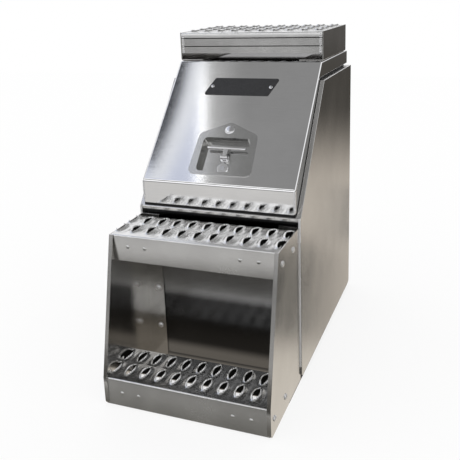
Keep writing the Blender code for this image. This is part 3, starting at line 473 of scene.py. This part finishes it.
def fold_edge(piece, pattern_edge, path, top):
    """Extrudes one long edge of a plank through the points of its fold."""
    select_points(piece, lambda place: abs(place.y - pattern_edge) < MERGE)
    take_only(piece)
    bpy.ops.object.mode_set(mode="EDIT")
    bpy.ops.mesh.select_mode(type="VERT")
    before = (pattern_edge, top)
    for point in path:
        move = (0, point[0] - before[0], point[1] - before[1])
        bpy.ops.mesh.extrude_region_move(TRANSFORM_OT_translate={"value": move})
        before = point
    bpy.ops.object.mode_set(mode="OBJECT")


# %% A whole plank
def grip_plank(node, columns, rows, lead, cut_ends, lip_rise, flange, rear_gap=0, grooves=()):
    """A finished plank in the place of a construction node.

    Its top is as low as its lips need to stay level with the node's, and the flange is measured from it.
    """
    low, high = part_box(node)
    top = high.z - CAD_LIP
    if not cut_ends:
        top = high.z - lip_rise
    bottom = top - flange
    rear = high.y - rear_gap
    half = high.x
    pitch = PITCH if cut_ends else 2 * half / columns
    plank = half_cell(f"{node}_formed", pitch, lip_rise)
    mirror = plank.modifiers.new("other_half", "MIRROR")
    mirror.merge_threshold = MERGE
    repeat(plank, "columns", columns, (pitch, 0, 0))
    repeat(plank, "rows", rows, (0, ROW, 0))
    apply_all(plank)
    first = low.y + lead
    plank.data.transform(Matrix.Translation((-pitch * (columns - 1) / 2, first + ROW / 2, top)))
    if cut_ends:
        for side in (-1, 1):
            edit(plank, lambda: bpy.ops.mesh.bisect(plane_co=(side * half, 0, top), plane_no=(side, 0, 0),
                                                    clear_outer=True))
    fold_edge(plank, first, fold_path(low.y, 1, top, bottom, grooves), top)
    fold_edge(plank, first + ROW * rows, fold_path(rear, -1, top, bottom), top)
    edit(plank, lambda: bpy.ops.mesh.remove_doubles(threshold=MERGE),
         lambda: bpy.ops.mesh.normals_make_consistent(inside=False))
    upward = sum(face.normal.z * face.area for face in plank.data.polygons)
    if upward < 0:
        edit(plank, lambda: bpy.ops.mesh.flip_normals())
    wall = plank.modifiers.new("sheet", "SOLIDIFY")
    wall.thickness = PLANK_SHEET
    wall.offset = -1
    # The inner skin takes the near-black painted shade.
    wall.material_offset = 1
    for material in (GRIP_SHEET, PLANK_INSIDE):
        plank.data.materials.append(material)
    apply_all(plank)
    take_only(plank)
    bpy.ops.object.shade_smooth_by_angle(angle=math.radians(40))
    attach(plank, body_of(frame["nodes"][node])[0])
    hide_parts(node)
    print(node, "faces", len(plank.data.polygons))
    return plank


STEP_COLUMNS = 11
STEP_ROWS = 2
STEP_LEAD = 16 * MM
TOP_COLUMNS = 10
REAR_GAP = 15 * MM
UPPER_FLANGE = 69 * MM
LOWER_FLANGE = 75 * MM
TOP_FLANGE = 59 * MM
GROOVE_DROPS = (16 * MM, 39 * MM)
grip_plank("upper_tread", STEP_COLUMNS, STEP_ROWS, STEP_LEAD, True, STEP_LIP, UPPER_FLANGE, REAR_GAP)
grip_plank("lower_tread", STEP_COLUMNS, STEP_ROWS, STEP_LEAD, True, STEP_LIP, LOWER_FLANGE, REAR_GAP)
tread_depth = TREAD_HIGH.y - TREAD_LOW.y
top_rows = int(tread_depth / ROW)
top_lead = (tread_depth - ROW * top_rows) / 2
grip_plank("top_tread", TOP_COLUMNS, top_rows, top_lead, False, TOP_LIP, TOP_FLANGE, grooves=GROOVE_DROPS)

# %% [markdown]
# Rivets hold the planks' flanges, and small weld beads join the sheets at their corners. A rivet is half
# a ball, cut flat and pressed low. A bead is a row of overlapping drops, which an Array lays along a line.


# %% Rivets and weld beads
def turned_to(axis, place):
    """The matrix that puts +Z on an axis and the origin at a place."""
    return Matrix.Translation(place) @ Vector(axis).to_track_quat("Z", "Y").to_matrix().to_4x4()


def dome(name, place, axis, radius, height, material, body, slot):
    """A low round head that stands on a face."""
    bpy.ops.object.select_all(action="DESELECT")
    bpy.ops.mesh.primitive_uv_sphere_add(segments=20, ring_count=12, radius=radius)
    head = bpy.context.object
    head.name = name
    edit(head, lambda: bpy.ops.mesh.bisect(plane_co=(0, 0, 0), plane_no=(0, 0, 1), clear_inner=True,
                                           use_fill=True))
    head.data.transform(turned_to(axis, place) @ Matrix.Diagonal((1, 1, height / radius, 1)))
    smooth(head, 50)
    return dress(head, material, body, slot)


def bead(name, start, end, radius, body, flat=0.7):
    """A weld bead from start to end, with one drop for each pulse of the torch."""
    start, end = Vector(start), Vector(end)
    length = (end - start).length
    count = max(1, round(length / (radius * 0.95)))
    bpy.ops.object.select_all(action="DESELECT")
    bpy.ops.mesh.primitive_ico_sphere_add(subdivisions=2, radius=radius)
    drop = bpy.context.object
    drop.name = name
    drop.data.transform(Matrix.Diagonal((1, 1, flat, 1)))
    axis = (end - start).normalized() if count > 1 else Vector((0, 0, 1))
    drop.data.transform(Matrix.Translation(start) @ axis.to_track_quat("Z", "Y").to_matrix().to_4x4())
    if count > 1:
        repeat(drop, "pulses", count, (end - start) / (count - 1))
        drop.modifiers["pulses"].use_merge_vertices = False
    apply_all(drop)
    take_only(drop)
    bpy.ops.object.shade_smooth_by_angle(angle=math.radians(60))
    return dress(drop, WELD_METAL, body, "sheet")


RIVET_RADIUS = 5 * MM
RIVET_HEIGHT = 2.2 * MM
RIVET_DROPS = {"upper_tread": 30 * MM, "lower_tread": 38 * MM}
RIVETS_ACROSS = (-174 * MM, -127 * MM, 127 * MM, 174 * MM)
for node, drop in RIVET_DROPS.items():
    low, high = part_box(node)
    for number, across in enumerate(RIVETS_ACROSS):
        place = (across, low.y, high.z - CAD_LIP - drop)
        dome(f"{node}_rivet_{number}", place, (0, -1, 0), RIVET_RADIUS, RIVET_HEIGHT, GRIP_SHEET,
             "box", "grip")

# %% Rivets of the bare plate
PLATE_RIVET_ACROSS = 87 * MM
PLATE_RIVET_RADIUS = 5.5 * MM
PLATE_RIVET_HEIGHT = 2 * MM
PLATE_LIFT = 0.4 * MM
plate_low, plate_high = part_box("nameplate")
slope = Vector((0, plate_high.y - plate_low.y, plate_high.z - plate_low.z)).normalized()
face_out = Vector((0, -slope.z, slope.y))
plate_middle = (plate_low + plate_high) / 2
for side in (-1, 1):
    place = Vector((side * PLATE_RIVET_ACROSS, plate_middle.y, plate_middle.z)) + face_out * PLATE_LIFT
    dome(f"plate_rivet_{side + 1}", place, face_out, PLATE_RIVET_RADIUS, PLATE_RIVET_HEIGHT, BRIGHT_STEEL,
         "lid", "steel")

# %% Weld beads
CORNER_RADIUS = 3.6 * MM
CORNER_IN = 3.7 * MM
LINE_RADIUS = 2.4 * MM
LINE_FLAT = 0.9
RETURN_RADIUS = 3.2 * MM
TREAD_RADIUS = 5 * MM
TREAD_FLAT = 0.8
lid_low, lid_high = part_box("lid_pan")
panel_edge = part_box("side_panel_right")[1].x
for side, name in ((-1, "left"), (1, "right")):
    across, back = side * (panel_edge - CORNER_IN), BOX_FRONT
    bead(f"corner_bead_{name}", (across, back, STEP_TOP - 40 * MM), (across, back, STEP_TOP + 22 * MM),
         CORNER_RADIUS, "box")
    back = BOX_FRONT + 0.6 * MM
    bead(f"corner_line_{name}", (across, back, 40 * MM), (across, back, STEP_TOP - 44 * MM),
         LINE_RADIUS, "box", LINE_FLAT)
    across, back = side * (lid_high.x - 3 * MM), lid_low.y + 1.4 * MM
    bead(f"return_bead_{name}", (across, back, lid_low.z + 12 * MM), (across, back, lid_low.z + 60 * MM),
         RETURN_RADIUS, "lid")
    across, back = side * (TREAD_HIGH.x - TREAD_RADIUS), TREAD_LOW.y + 2.6 * MM
    bead(f"tread_bead_{name}", (across, back, TREAD_LOW.z + 4 * MM),
         (across, back, TREAD_HIGH.z - CAD_LIP - 10 * MM), TREAD_RADIUS, "lid", TREAD_FLAT)

# %% [markdown]
# The camera stands to the right of the steps, a little above the lid, and looks down at the box. Its
# place was worked out from the photograph's perspective.


# %% Camera
TURN = math.radians(21.68)
PITCH_DOWN = math.radians(14.89)
ROLL = math.radians(-2.15)
FOCAL_PIXELS = 658.6
FRAME_PIXELS = 460
CENTRE_ROW = 165
EYE = Vector((0.6457, -1.7009, 1.0222))


def make_camera():
    """A camera at the photograph's place, with its framing."""
    ahead = Vector((-math.sin(TURN) * math.cos(PITCH_DOWN), math.cos(TURN) * math.cos(PITCH_DOWN),
                    -math.sin(PITCH_DOWN)))
    level_right = Vector((math.cos(TURN), math.sin(TURN), 0))
    level_up = level_right.cross(ahead)
    right = level_right * math.cos(ROLL) + level_up * math.sin(ROLL)
    up = level_up * math.cos(ROLL) - level_right * math.sin(ROLL)
    data = bpy.data.cameras.new("camera")
    data.sensor_width = 36
    data.lens = FOCAL_PIXELS / FRAME_PIXELS * data.sensor_width
    data.shift_y = (CENTRE_ROW - FRAME_PIXELS / 2) / FRAME_PIXELS
    camera = bpy.data.objects.new("camera", data)
    bpy.context.scene.collection.objects.link(camera)
    camera.matrix_world = Matrix.Translation(EYE) @ Matrix((right, up, -ahead)).transposed().to_4x4()
    bpy.context.scene.camera = camera
    return camera


make_camera()

# %% [markdown]
# Bare metal shows the room more than itself. A photographer hangs cards and lights round such a piece,
# and the metal's looks are those cards. Here one large ball stands round the box and glows by direction.
# In front, the floor is dark at the horizon, pale further down and dark again near the box. Behind, it is
# pale below a dark horizon, with two dark patches. The walls turn from dark to pale as they rise, with one
# dark band in front. The ceiling is grey, and its left part is a large cool light with a bright edge, a
# leaning pale band and a short dark streak. Only reflections see the ball, and its brightest line is twice
# as bright as white.

# %% The room that the metal reflects
ROOM_RADIUS = 40
LEAN = 0.78


def room_colour(tree, across, back, up):
    """The colour of the room in one direction.

    Across, back and up are that direction's own three parts, so a step of up is a step of the sine of its
    height above the horizon.
    """
    down = up * -1
    front_floor = mixed(tree, down.step(0.06, 0.26), grey(0.22), (0.64, 0.63, 0.62, 1))
    front_floor = mixed(tree, down.step(0.285, 0.37), front_floor, (0.225, 0.22, 0.21, 1))
    front_floor = mixed(tree, down.step(0.46, 0.56), front_floor, (0.145, 0.14, 0.128, 1))
    back_floor = mixed(tree, down.step(0.15, 0.31), (0.07, 0.065, 0.058, 1), (0.66, 0.60, 0.53, 1))
    back_floor = mixed(tree, down.step(0.44, 0.58), back_floor, (0.72, 0.67, 0.60, 1))
    patch = across.step(0.212, 0.232) * down.band(0.358, 0.495, 0.02)
    back_floor = mixed(tree, patch, back_floor, (0.085, 0.085, 0.08, 1))
    patch = (1 - across.step(0.19, 0.205)) * down.band(0.28, 0.36, 0.01)
    back_floor = mixed(tree, patch, back_floor, (0.19, 0.19, 0.185, 1))
    floor = mixed(tree, back.step(-0.3, 0.3), front_floor, back_floor)
    front_wall = mixed(tree, up.step(0.02, 0.20), grey(0.22), (1.2, 1.2, 1.22, 1))
    front_wall = mixed(tree, up.band(0.42, 0.54, 0.02), front_wall, grey(0.12))
    back_wall = mixed(tree, up.step(0.07, 0.17), (0.10, 0.095, 0.09, 1), (0.98, 0.98, 1.0, 1))
    walls = mixed(tree, back.step(-0.3, 0.3), front_wall, back_wall)
    lower = mixed(tree, up.step(-0.10, -0.04), floor, walls)
    ceiling = mixed(tree, across.step(-0.395, -0.33), grey(0.50), grey(0.27))
    ceiling = mixed(tree, 1 - across.step(-0.400, -0.388), ceiling, (0.62, 0.66, 0.79, 1))
    ceiling = mixed(tree, across.band(-0.399, -0.391, 0.003), ceiling, grey(2.0))
    lean = across - up * LEAN
    ceiling = mixed(tree, lean.band(-1.117, -1.102, 0.006), ceiling, (0.86, 0.88, 0.92, 1))
    streak = lean.band(-1.134, -1.118, 0.003) * up.step(0.834, 0.846)
    ceiling = mixed(tree, streak, ceiling, grey(0.02))
    return mixed(tree, up.step(0.66, 0.74), lower, ceiling)


def make_room():
    bpy.ops.object.select_all(action="DESELECT")
    bpy.ops.mesh.primitive_uv_sphere_add(segments=48, ring_count=24, radius=ROOM_RADIUS)
    room = bpy.context.object
    room.name = "room"
    made, tree, shader, place = new_material("room_glow")
    tree.nodes.remove(shader)
    direction = add_node(tree, "ShaderNodeVectorMath", {"operation": "NORMALIZE"}, {0: place})
    glow = add_node(tree, "ShaderNodeEmission", {}, {"Color": room_colour(tree, *split(direction))})
    out = tree.nodes["Material Output"]
    tree.links.new(glow.socket, out.inputs["Surface"])
    room.data.materials.append(made)
    room.visible_camera = False
    room.visible_diffuse = False
    room.visible_shadow = False
    room.visible_transmission = False


make_room()

# %% [markdown]
# The ground belongs to the picture too. No light reaches the ground under the box, so a dark plane lies
# there, which the camera sees as well. The steps and the lower front look out at the ground before them, so
# a dark card lies there, and only reflections see it. The wide floor glows white to the camera, and a
# share of matt white in it keeps the object's shadow. Reflections don't see it and get the room instead. A
# plain white world lights everything.


# %% Stage materials and planes
def stage_material(name):
    """A new material without its shader, for a plain glow."""
    made, tree, shader, place = new_material(name)
    tree.nodes.remove(shader)
    return made, tree, place


def show(tree, surface):
    """Puts a shader on the surface."""
    tree.links.new(surface.socket, tree.nodes["Material Output"].inputs["Surface"])


def add_plane(name, low, high, height):
    """A flat rectangle on the ground that belongs to the stage."""
    bpy.ops.object.select_all(action="DESELECT")
    bpy.ops.mesh.primitive_plane_add(size=1)
    card = bpy.context.object
    card.name = name
    size = Vector(high) - Vector(low)
    middle = (Vector(high) + Vector(low)) / 2
    card.data.transform(Matrix.Translation((*middle, height)) @ Matrix.Diagonal((*size, 1, 1)))
    return card


def shaded_card(name, low, high, height, start, end, front, rear):
    """A card whose glow turns from its front shade to its rear shade between two places along Y."""
    card = add_plane(name, low, high, height)
    made, tree, place = stage_material(f"{name}_glow")
    across, back, up = split(place)
    shade = mixed(tree, back.step(start, end), front, rear)
    show(tree, add_node(tree, "ShaderNodeEmission", {}, {"Color": shade}))
    card.data.materials.append(made)
    card.visible_diffuse = False
    card.visible_shadow = False
    return card


# %% Ground under the box, dark card, pale floor and plain light
GROUND_FRONT = 150 * MM
GROUND_MARGIN = 4 * MM
FLOOR_SIZE = 6
FLOOR_GLOW = 1.06
FLOOR_SHARE = 0.75


def make_ground_shade():
    """The ground under the box, which no light reaches."""
    low = cad_low + Vector((GROUND_MARGIN, GROUND_FRONT, 0))
    high = cad_high - Vector((GROUND_MARGIN, GROUND_MARGIN, 0))
    shaded_card("ground_shade", low.xy, high.xy, 0.5 * MM, BOX_FRONT - 8 * MM, BOX_FRONT + 30 * MM,
                (0.20, 0.18, 0.155, 1), grey(0.012))


def make_card():
    """The dark ground before the steps, for reflections alone."""
    card = shaded_card("dark_card", (-1.2, -1.12), (0.6, -0.64), 1 * MM, -0.95, -0.55,
                       (0.10, 0.094, 0.086, 1), (0.03, 0.03, 0.027, 1))
    card.visible_camera = False
    card.visible_transmission = False


def make_floor():
    """A floor that the camera sees as white, with the object's shadow on it."""
    floor = add_plane("floor", (-FLOOR_SIZE, -FLOOR_SIZE), (FLOOR_SIZE, FLOOR_SIZE), 0)
    made, tree, place = stage_material("pale_floor")
    to_camera = add_node(tree, "ShaderNodeLightPath")
    matt_white = add_node(tree, "ShaderNodeBsdfDiffuse", {}, {"Color": grey(0.8)})
    glow = add_node(tree, "ShaderNodeEmission", {}, {"Color": grey(1.0), "Strength": FLOOR_GLOW})
    shares = {0: to_camera * FLOOR_SHARE, 1: matt_white, 2: glow}
    show(tree, add_node(tree, "ShaderNodeMixShader", {}, shares))
    floor.data.materials.append(made)
    floor.visible_glossy = False


def make_world():
    world = bpy.data.worlds.new("plain_light")
    bpy.context.scene.world = world
    world.use_nodes = True
    tree = world.node_tree
    light = tree.nodes["Background"]
    light.inputs["Color"].default_value = grey(1.0)
    light.inputs["Strength"].default_value = 1.0


make_ground_shade()
make_card()
make_floor()
make_world()
bpy.context.scene.view_settings.view_transform = "Standard"
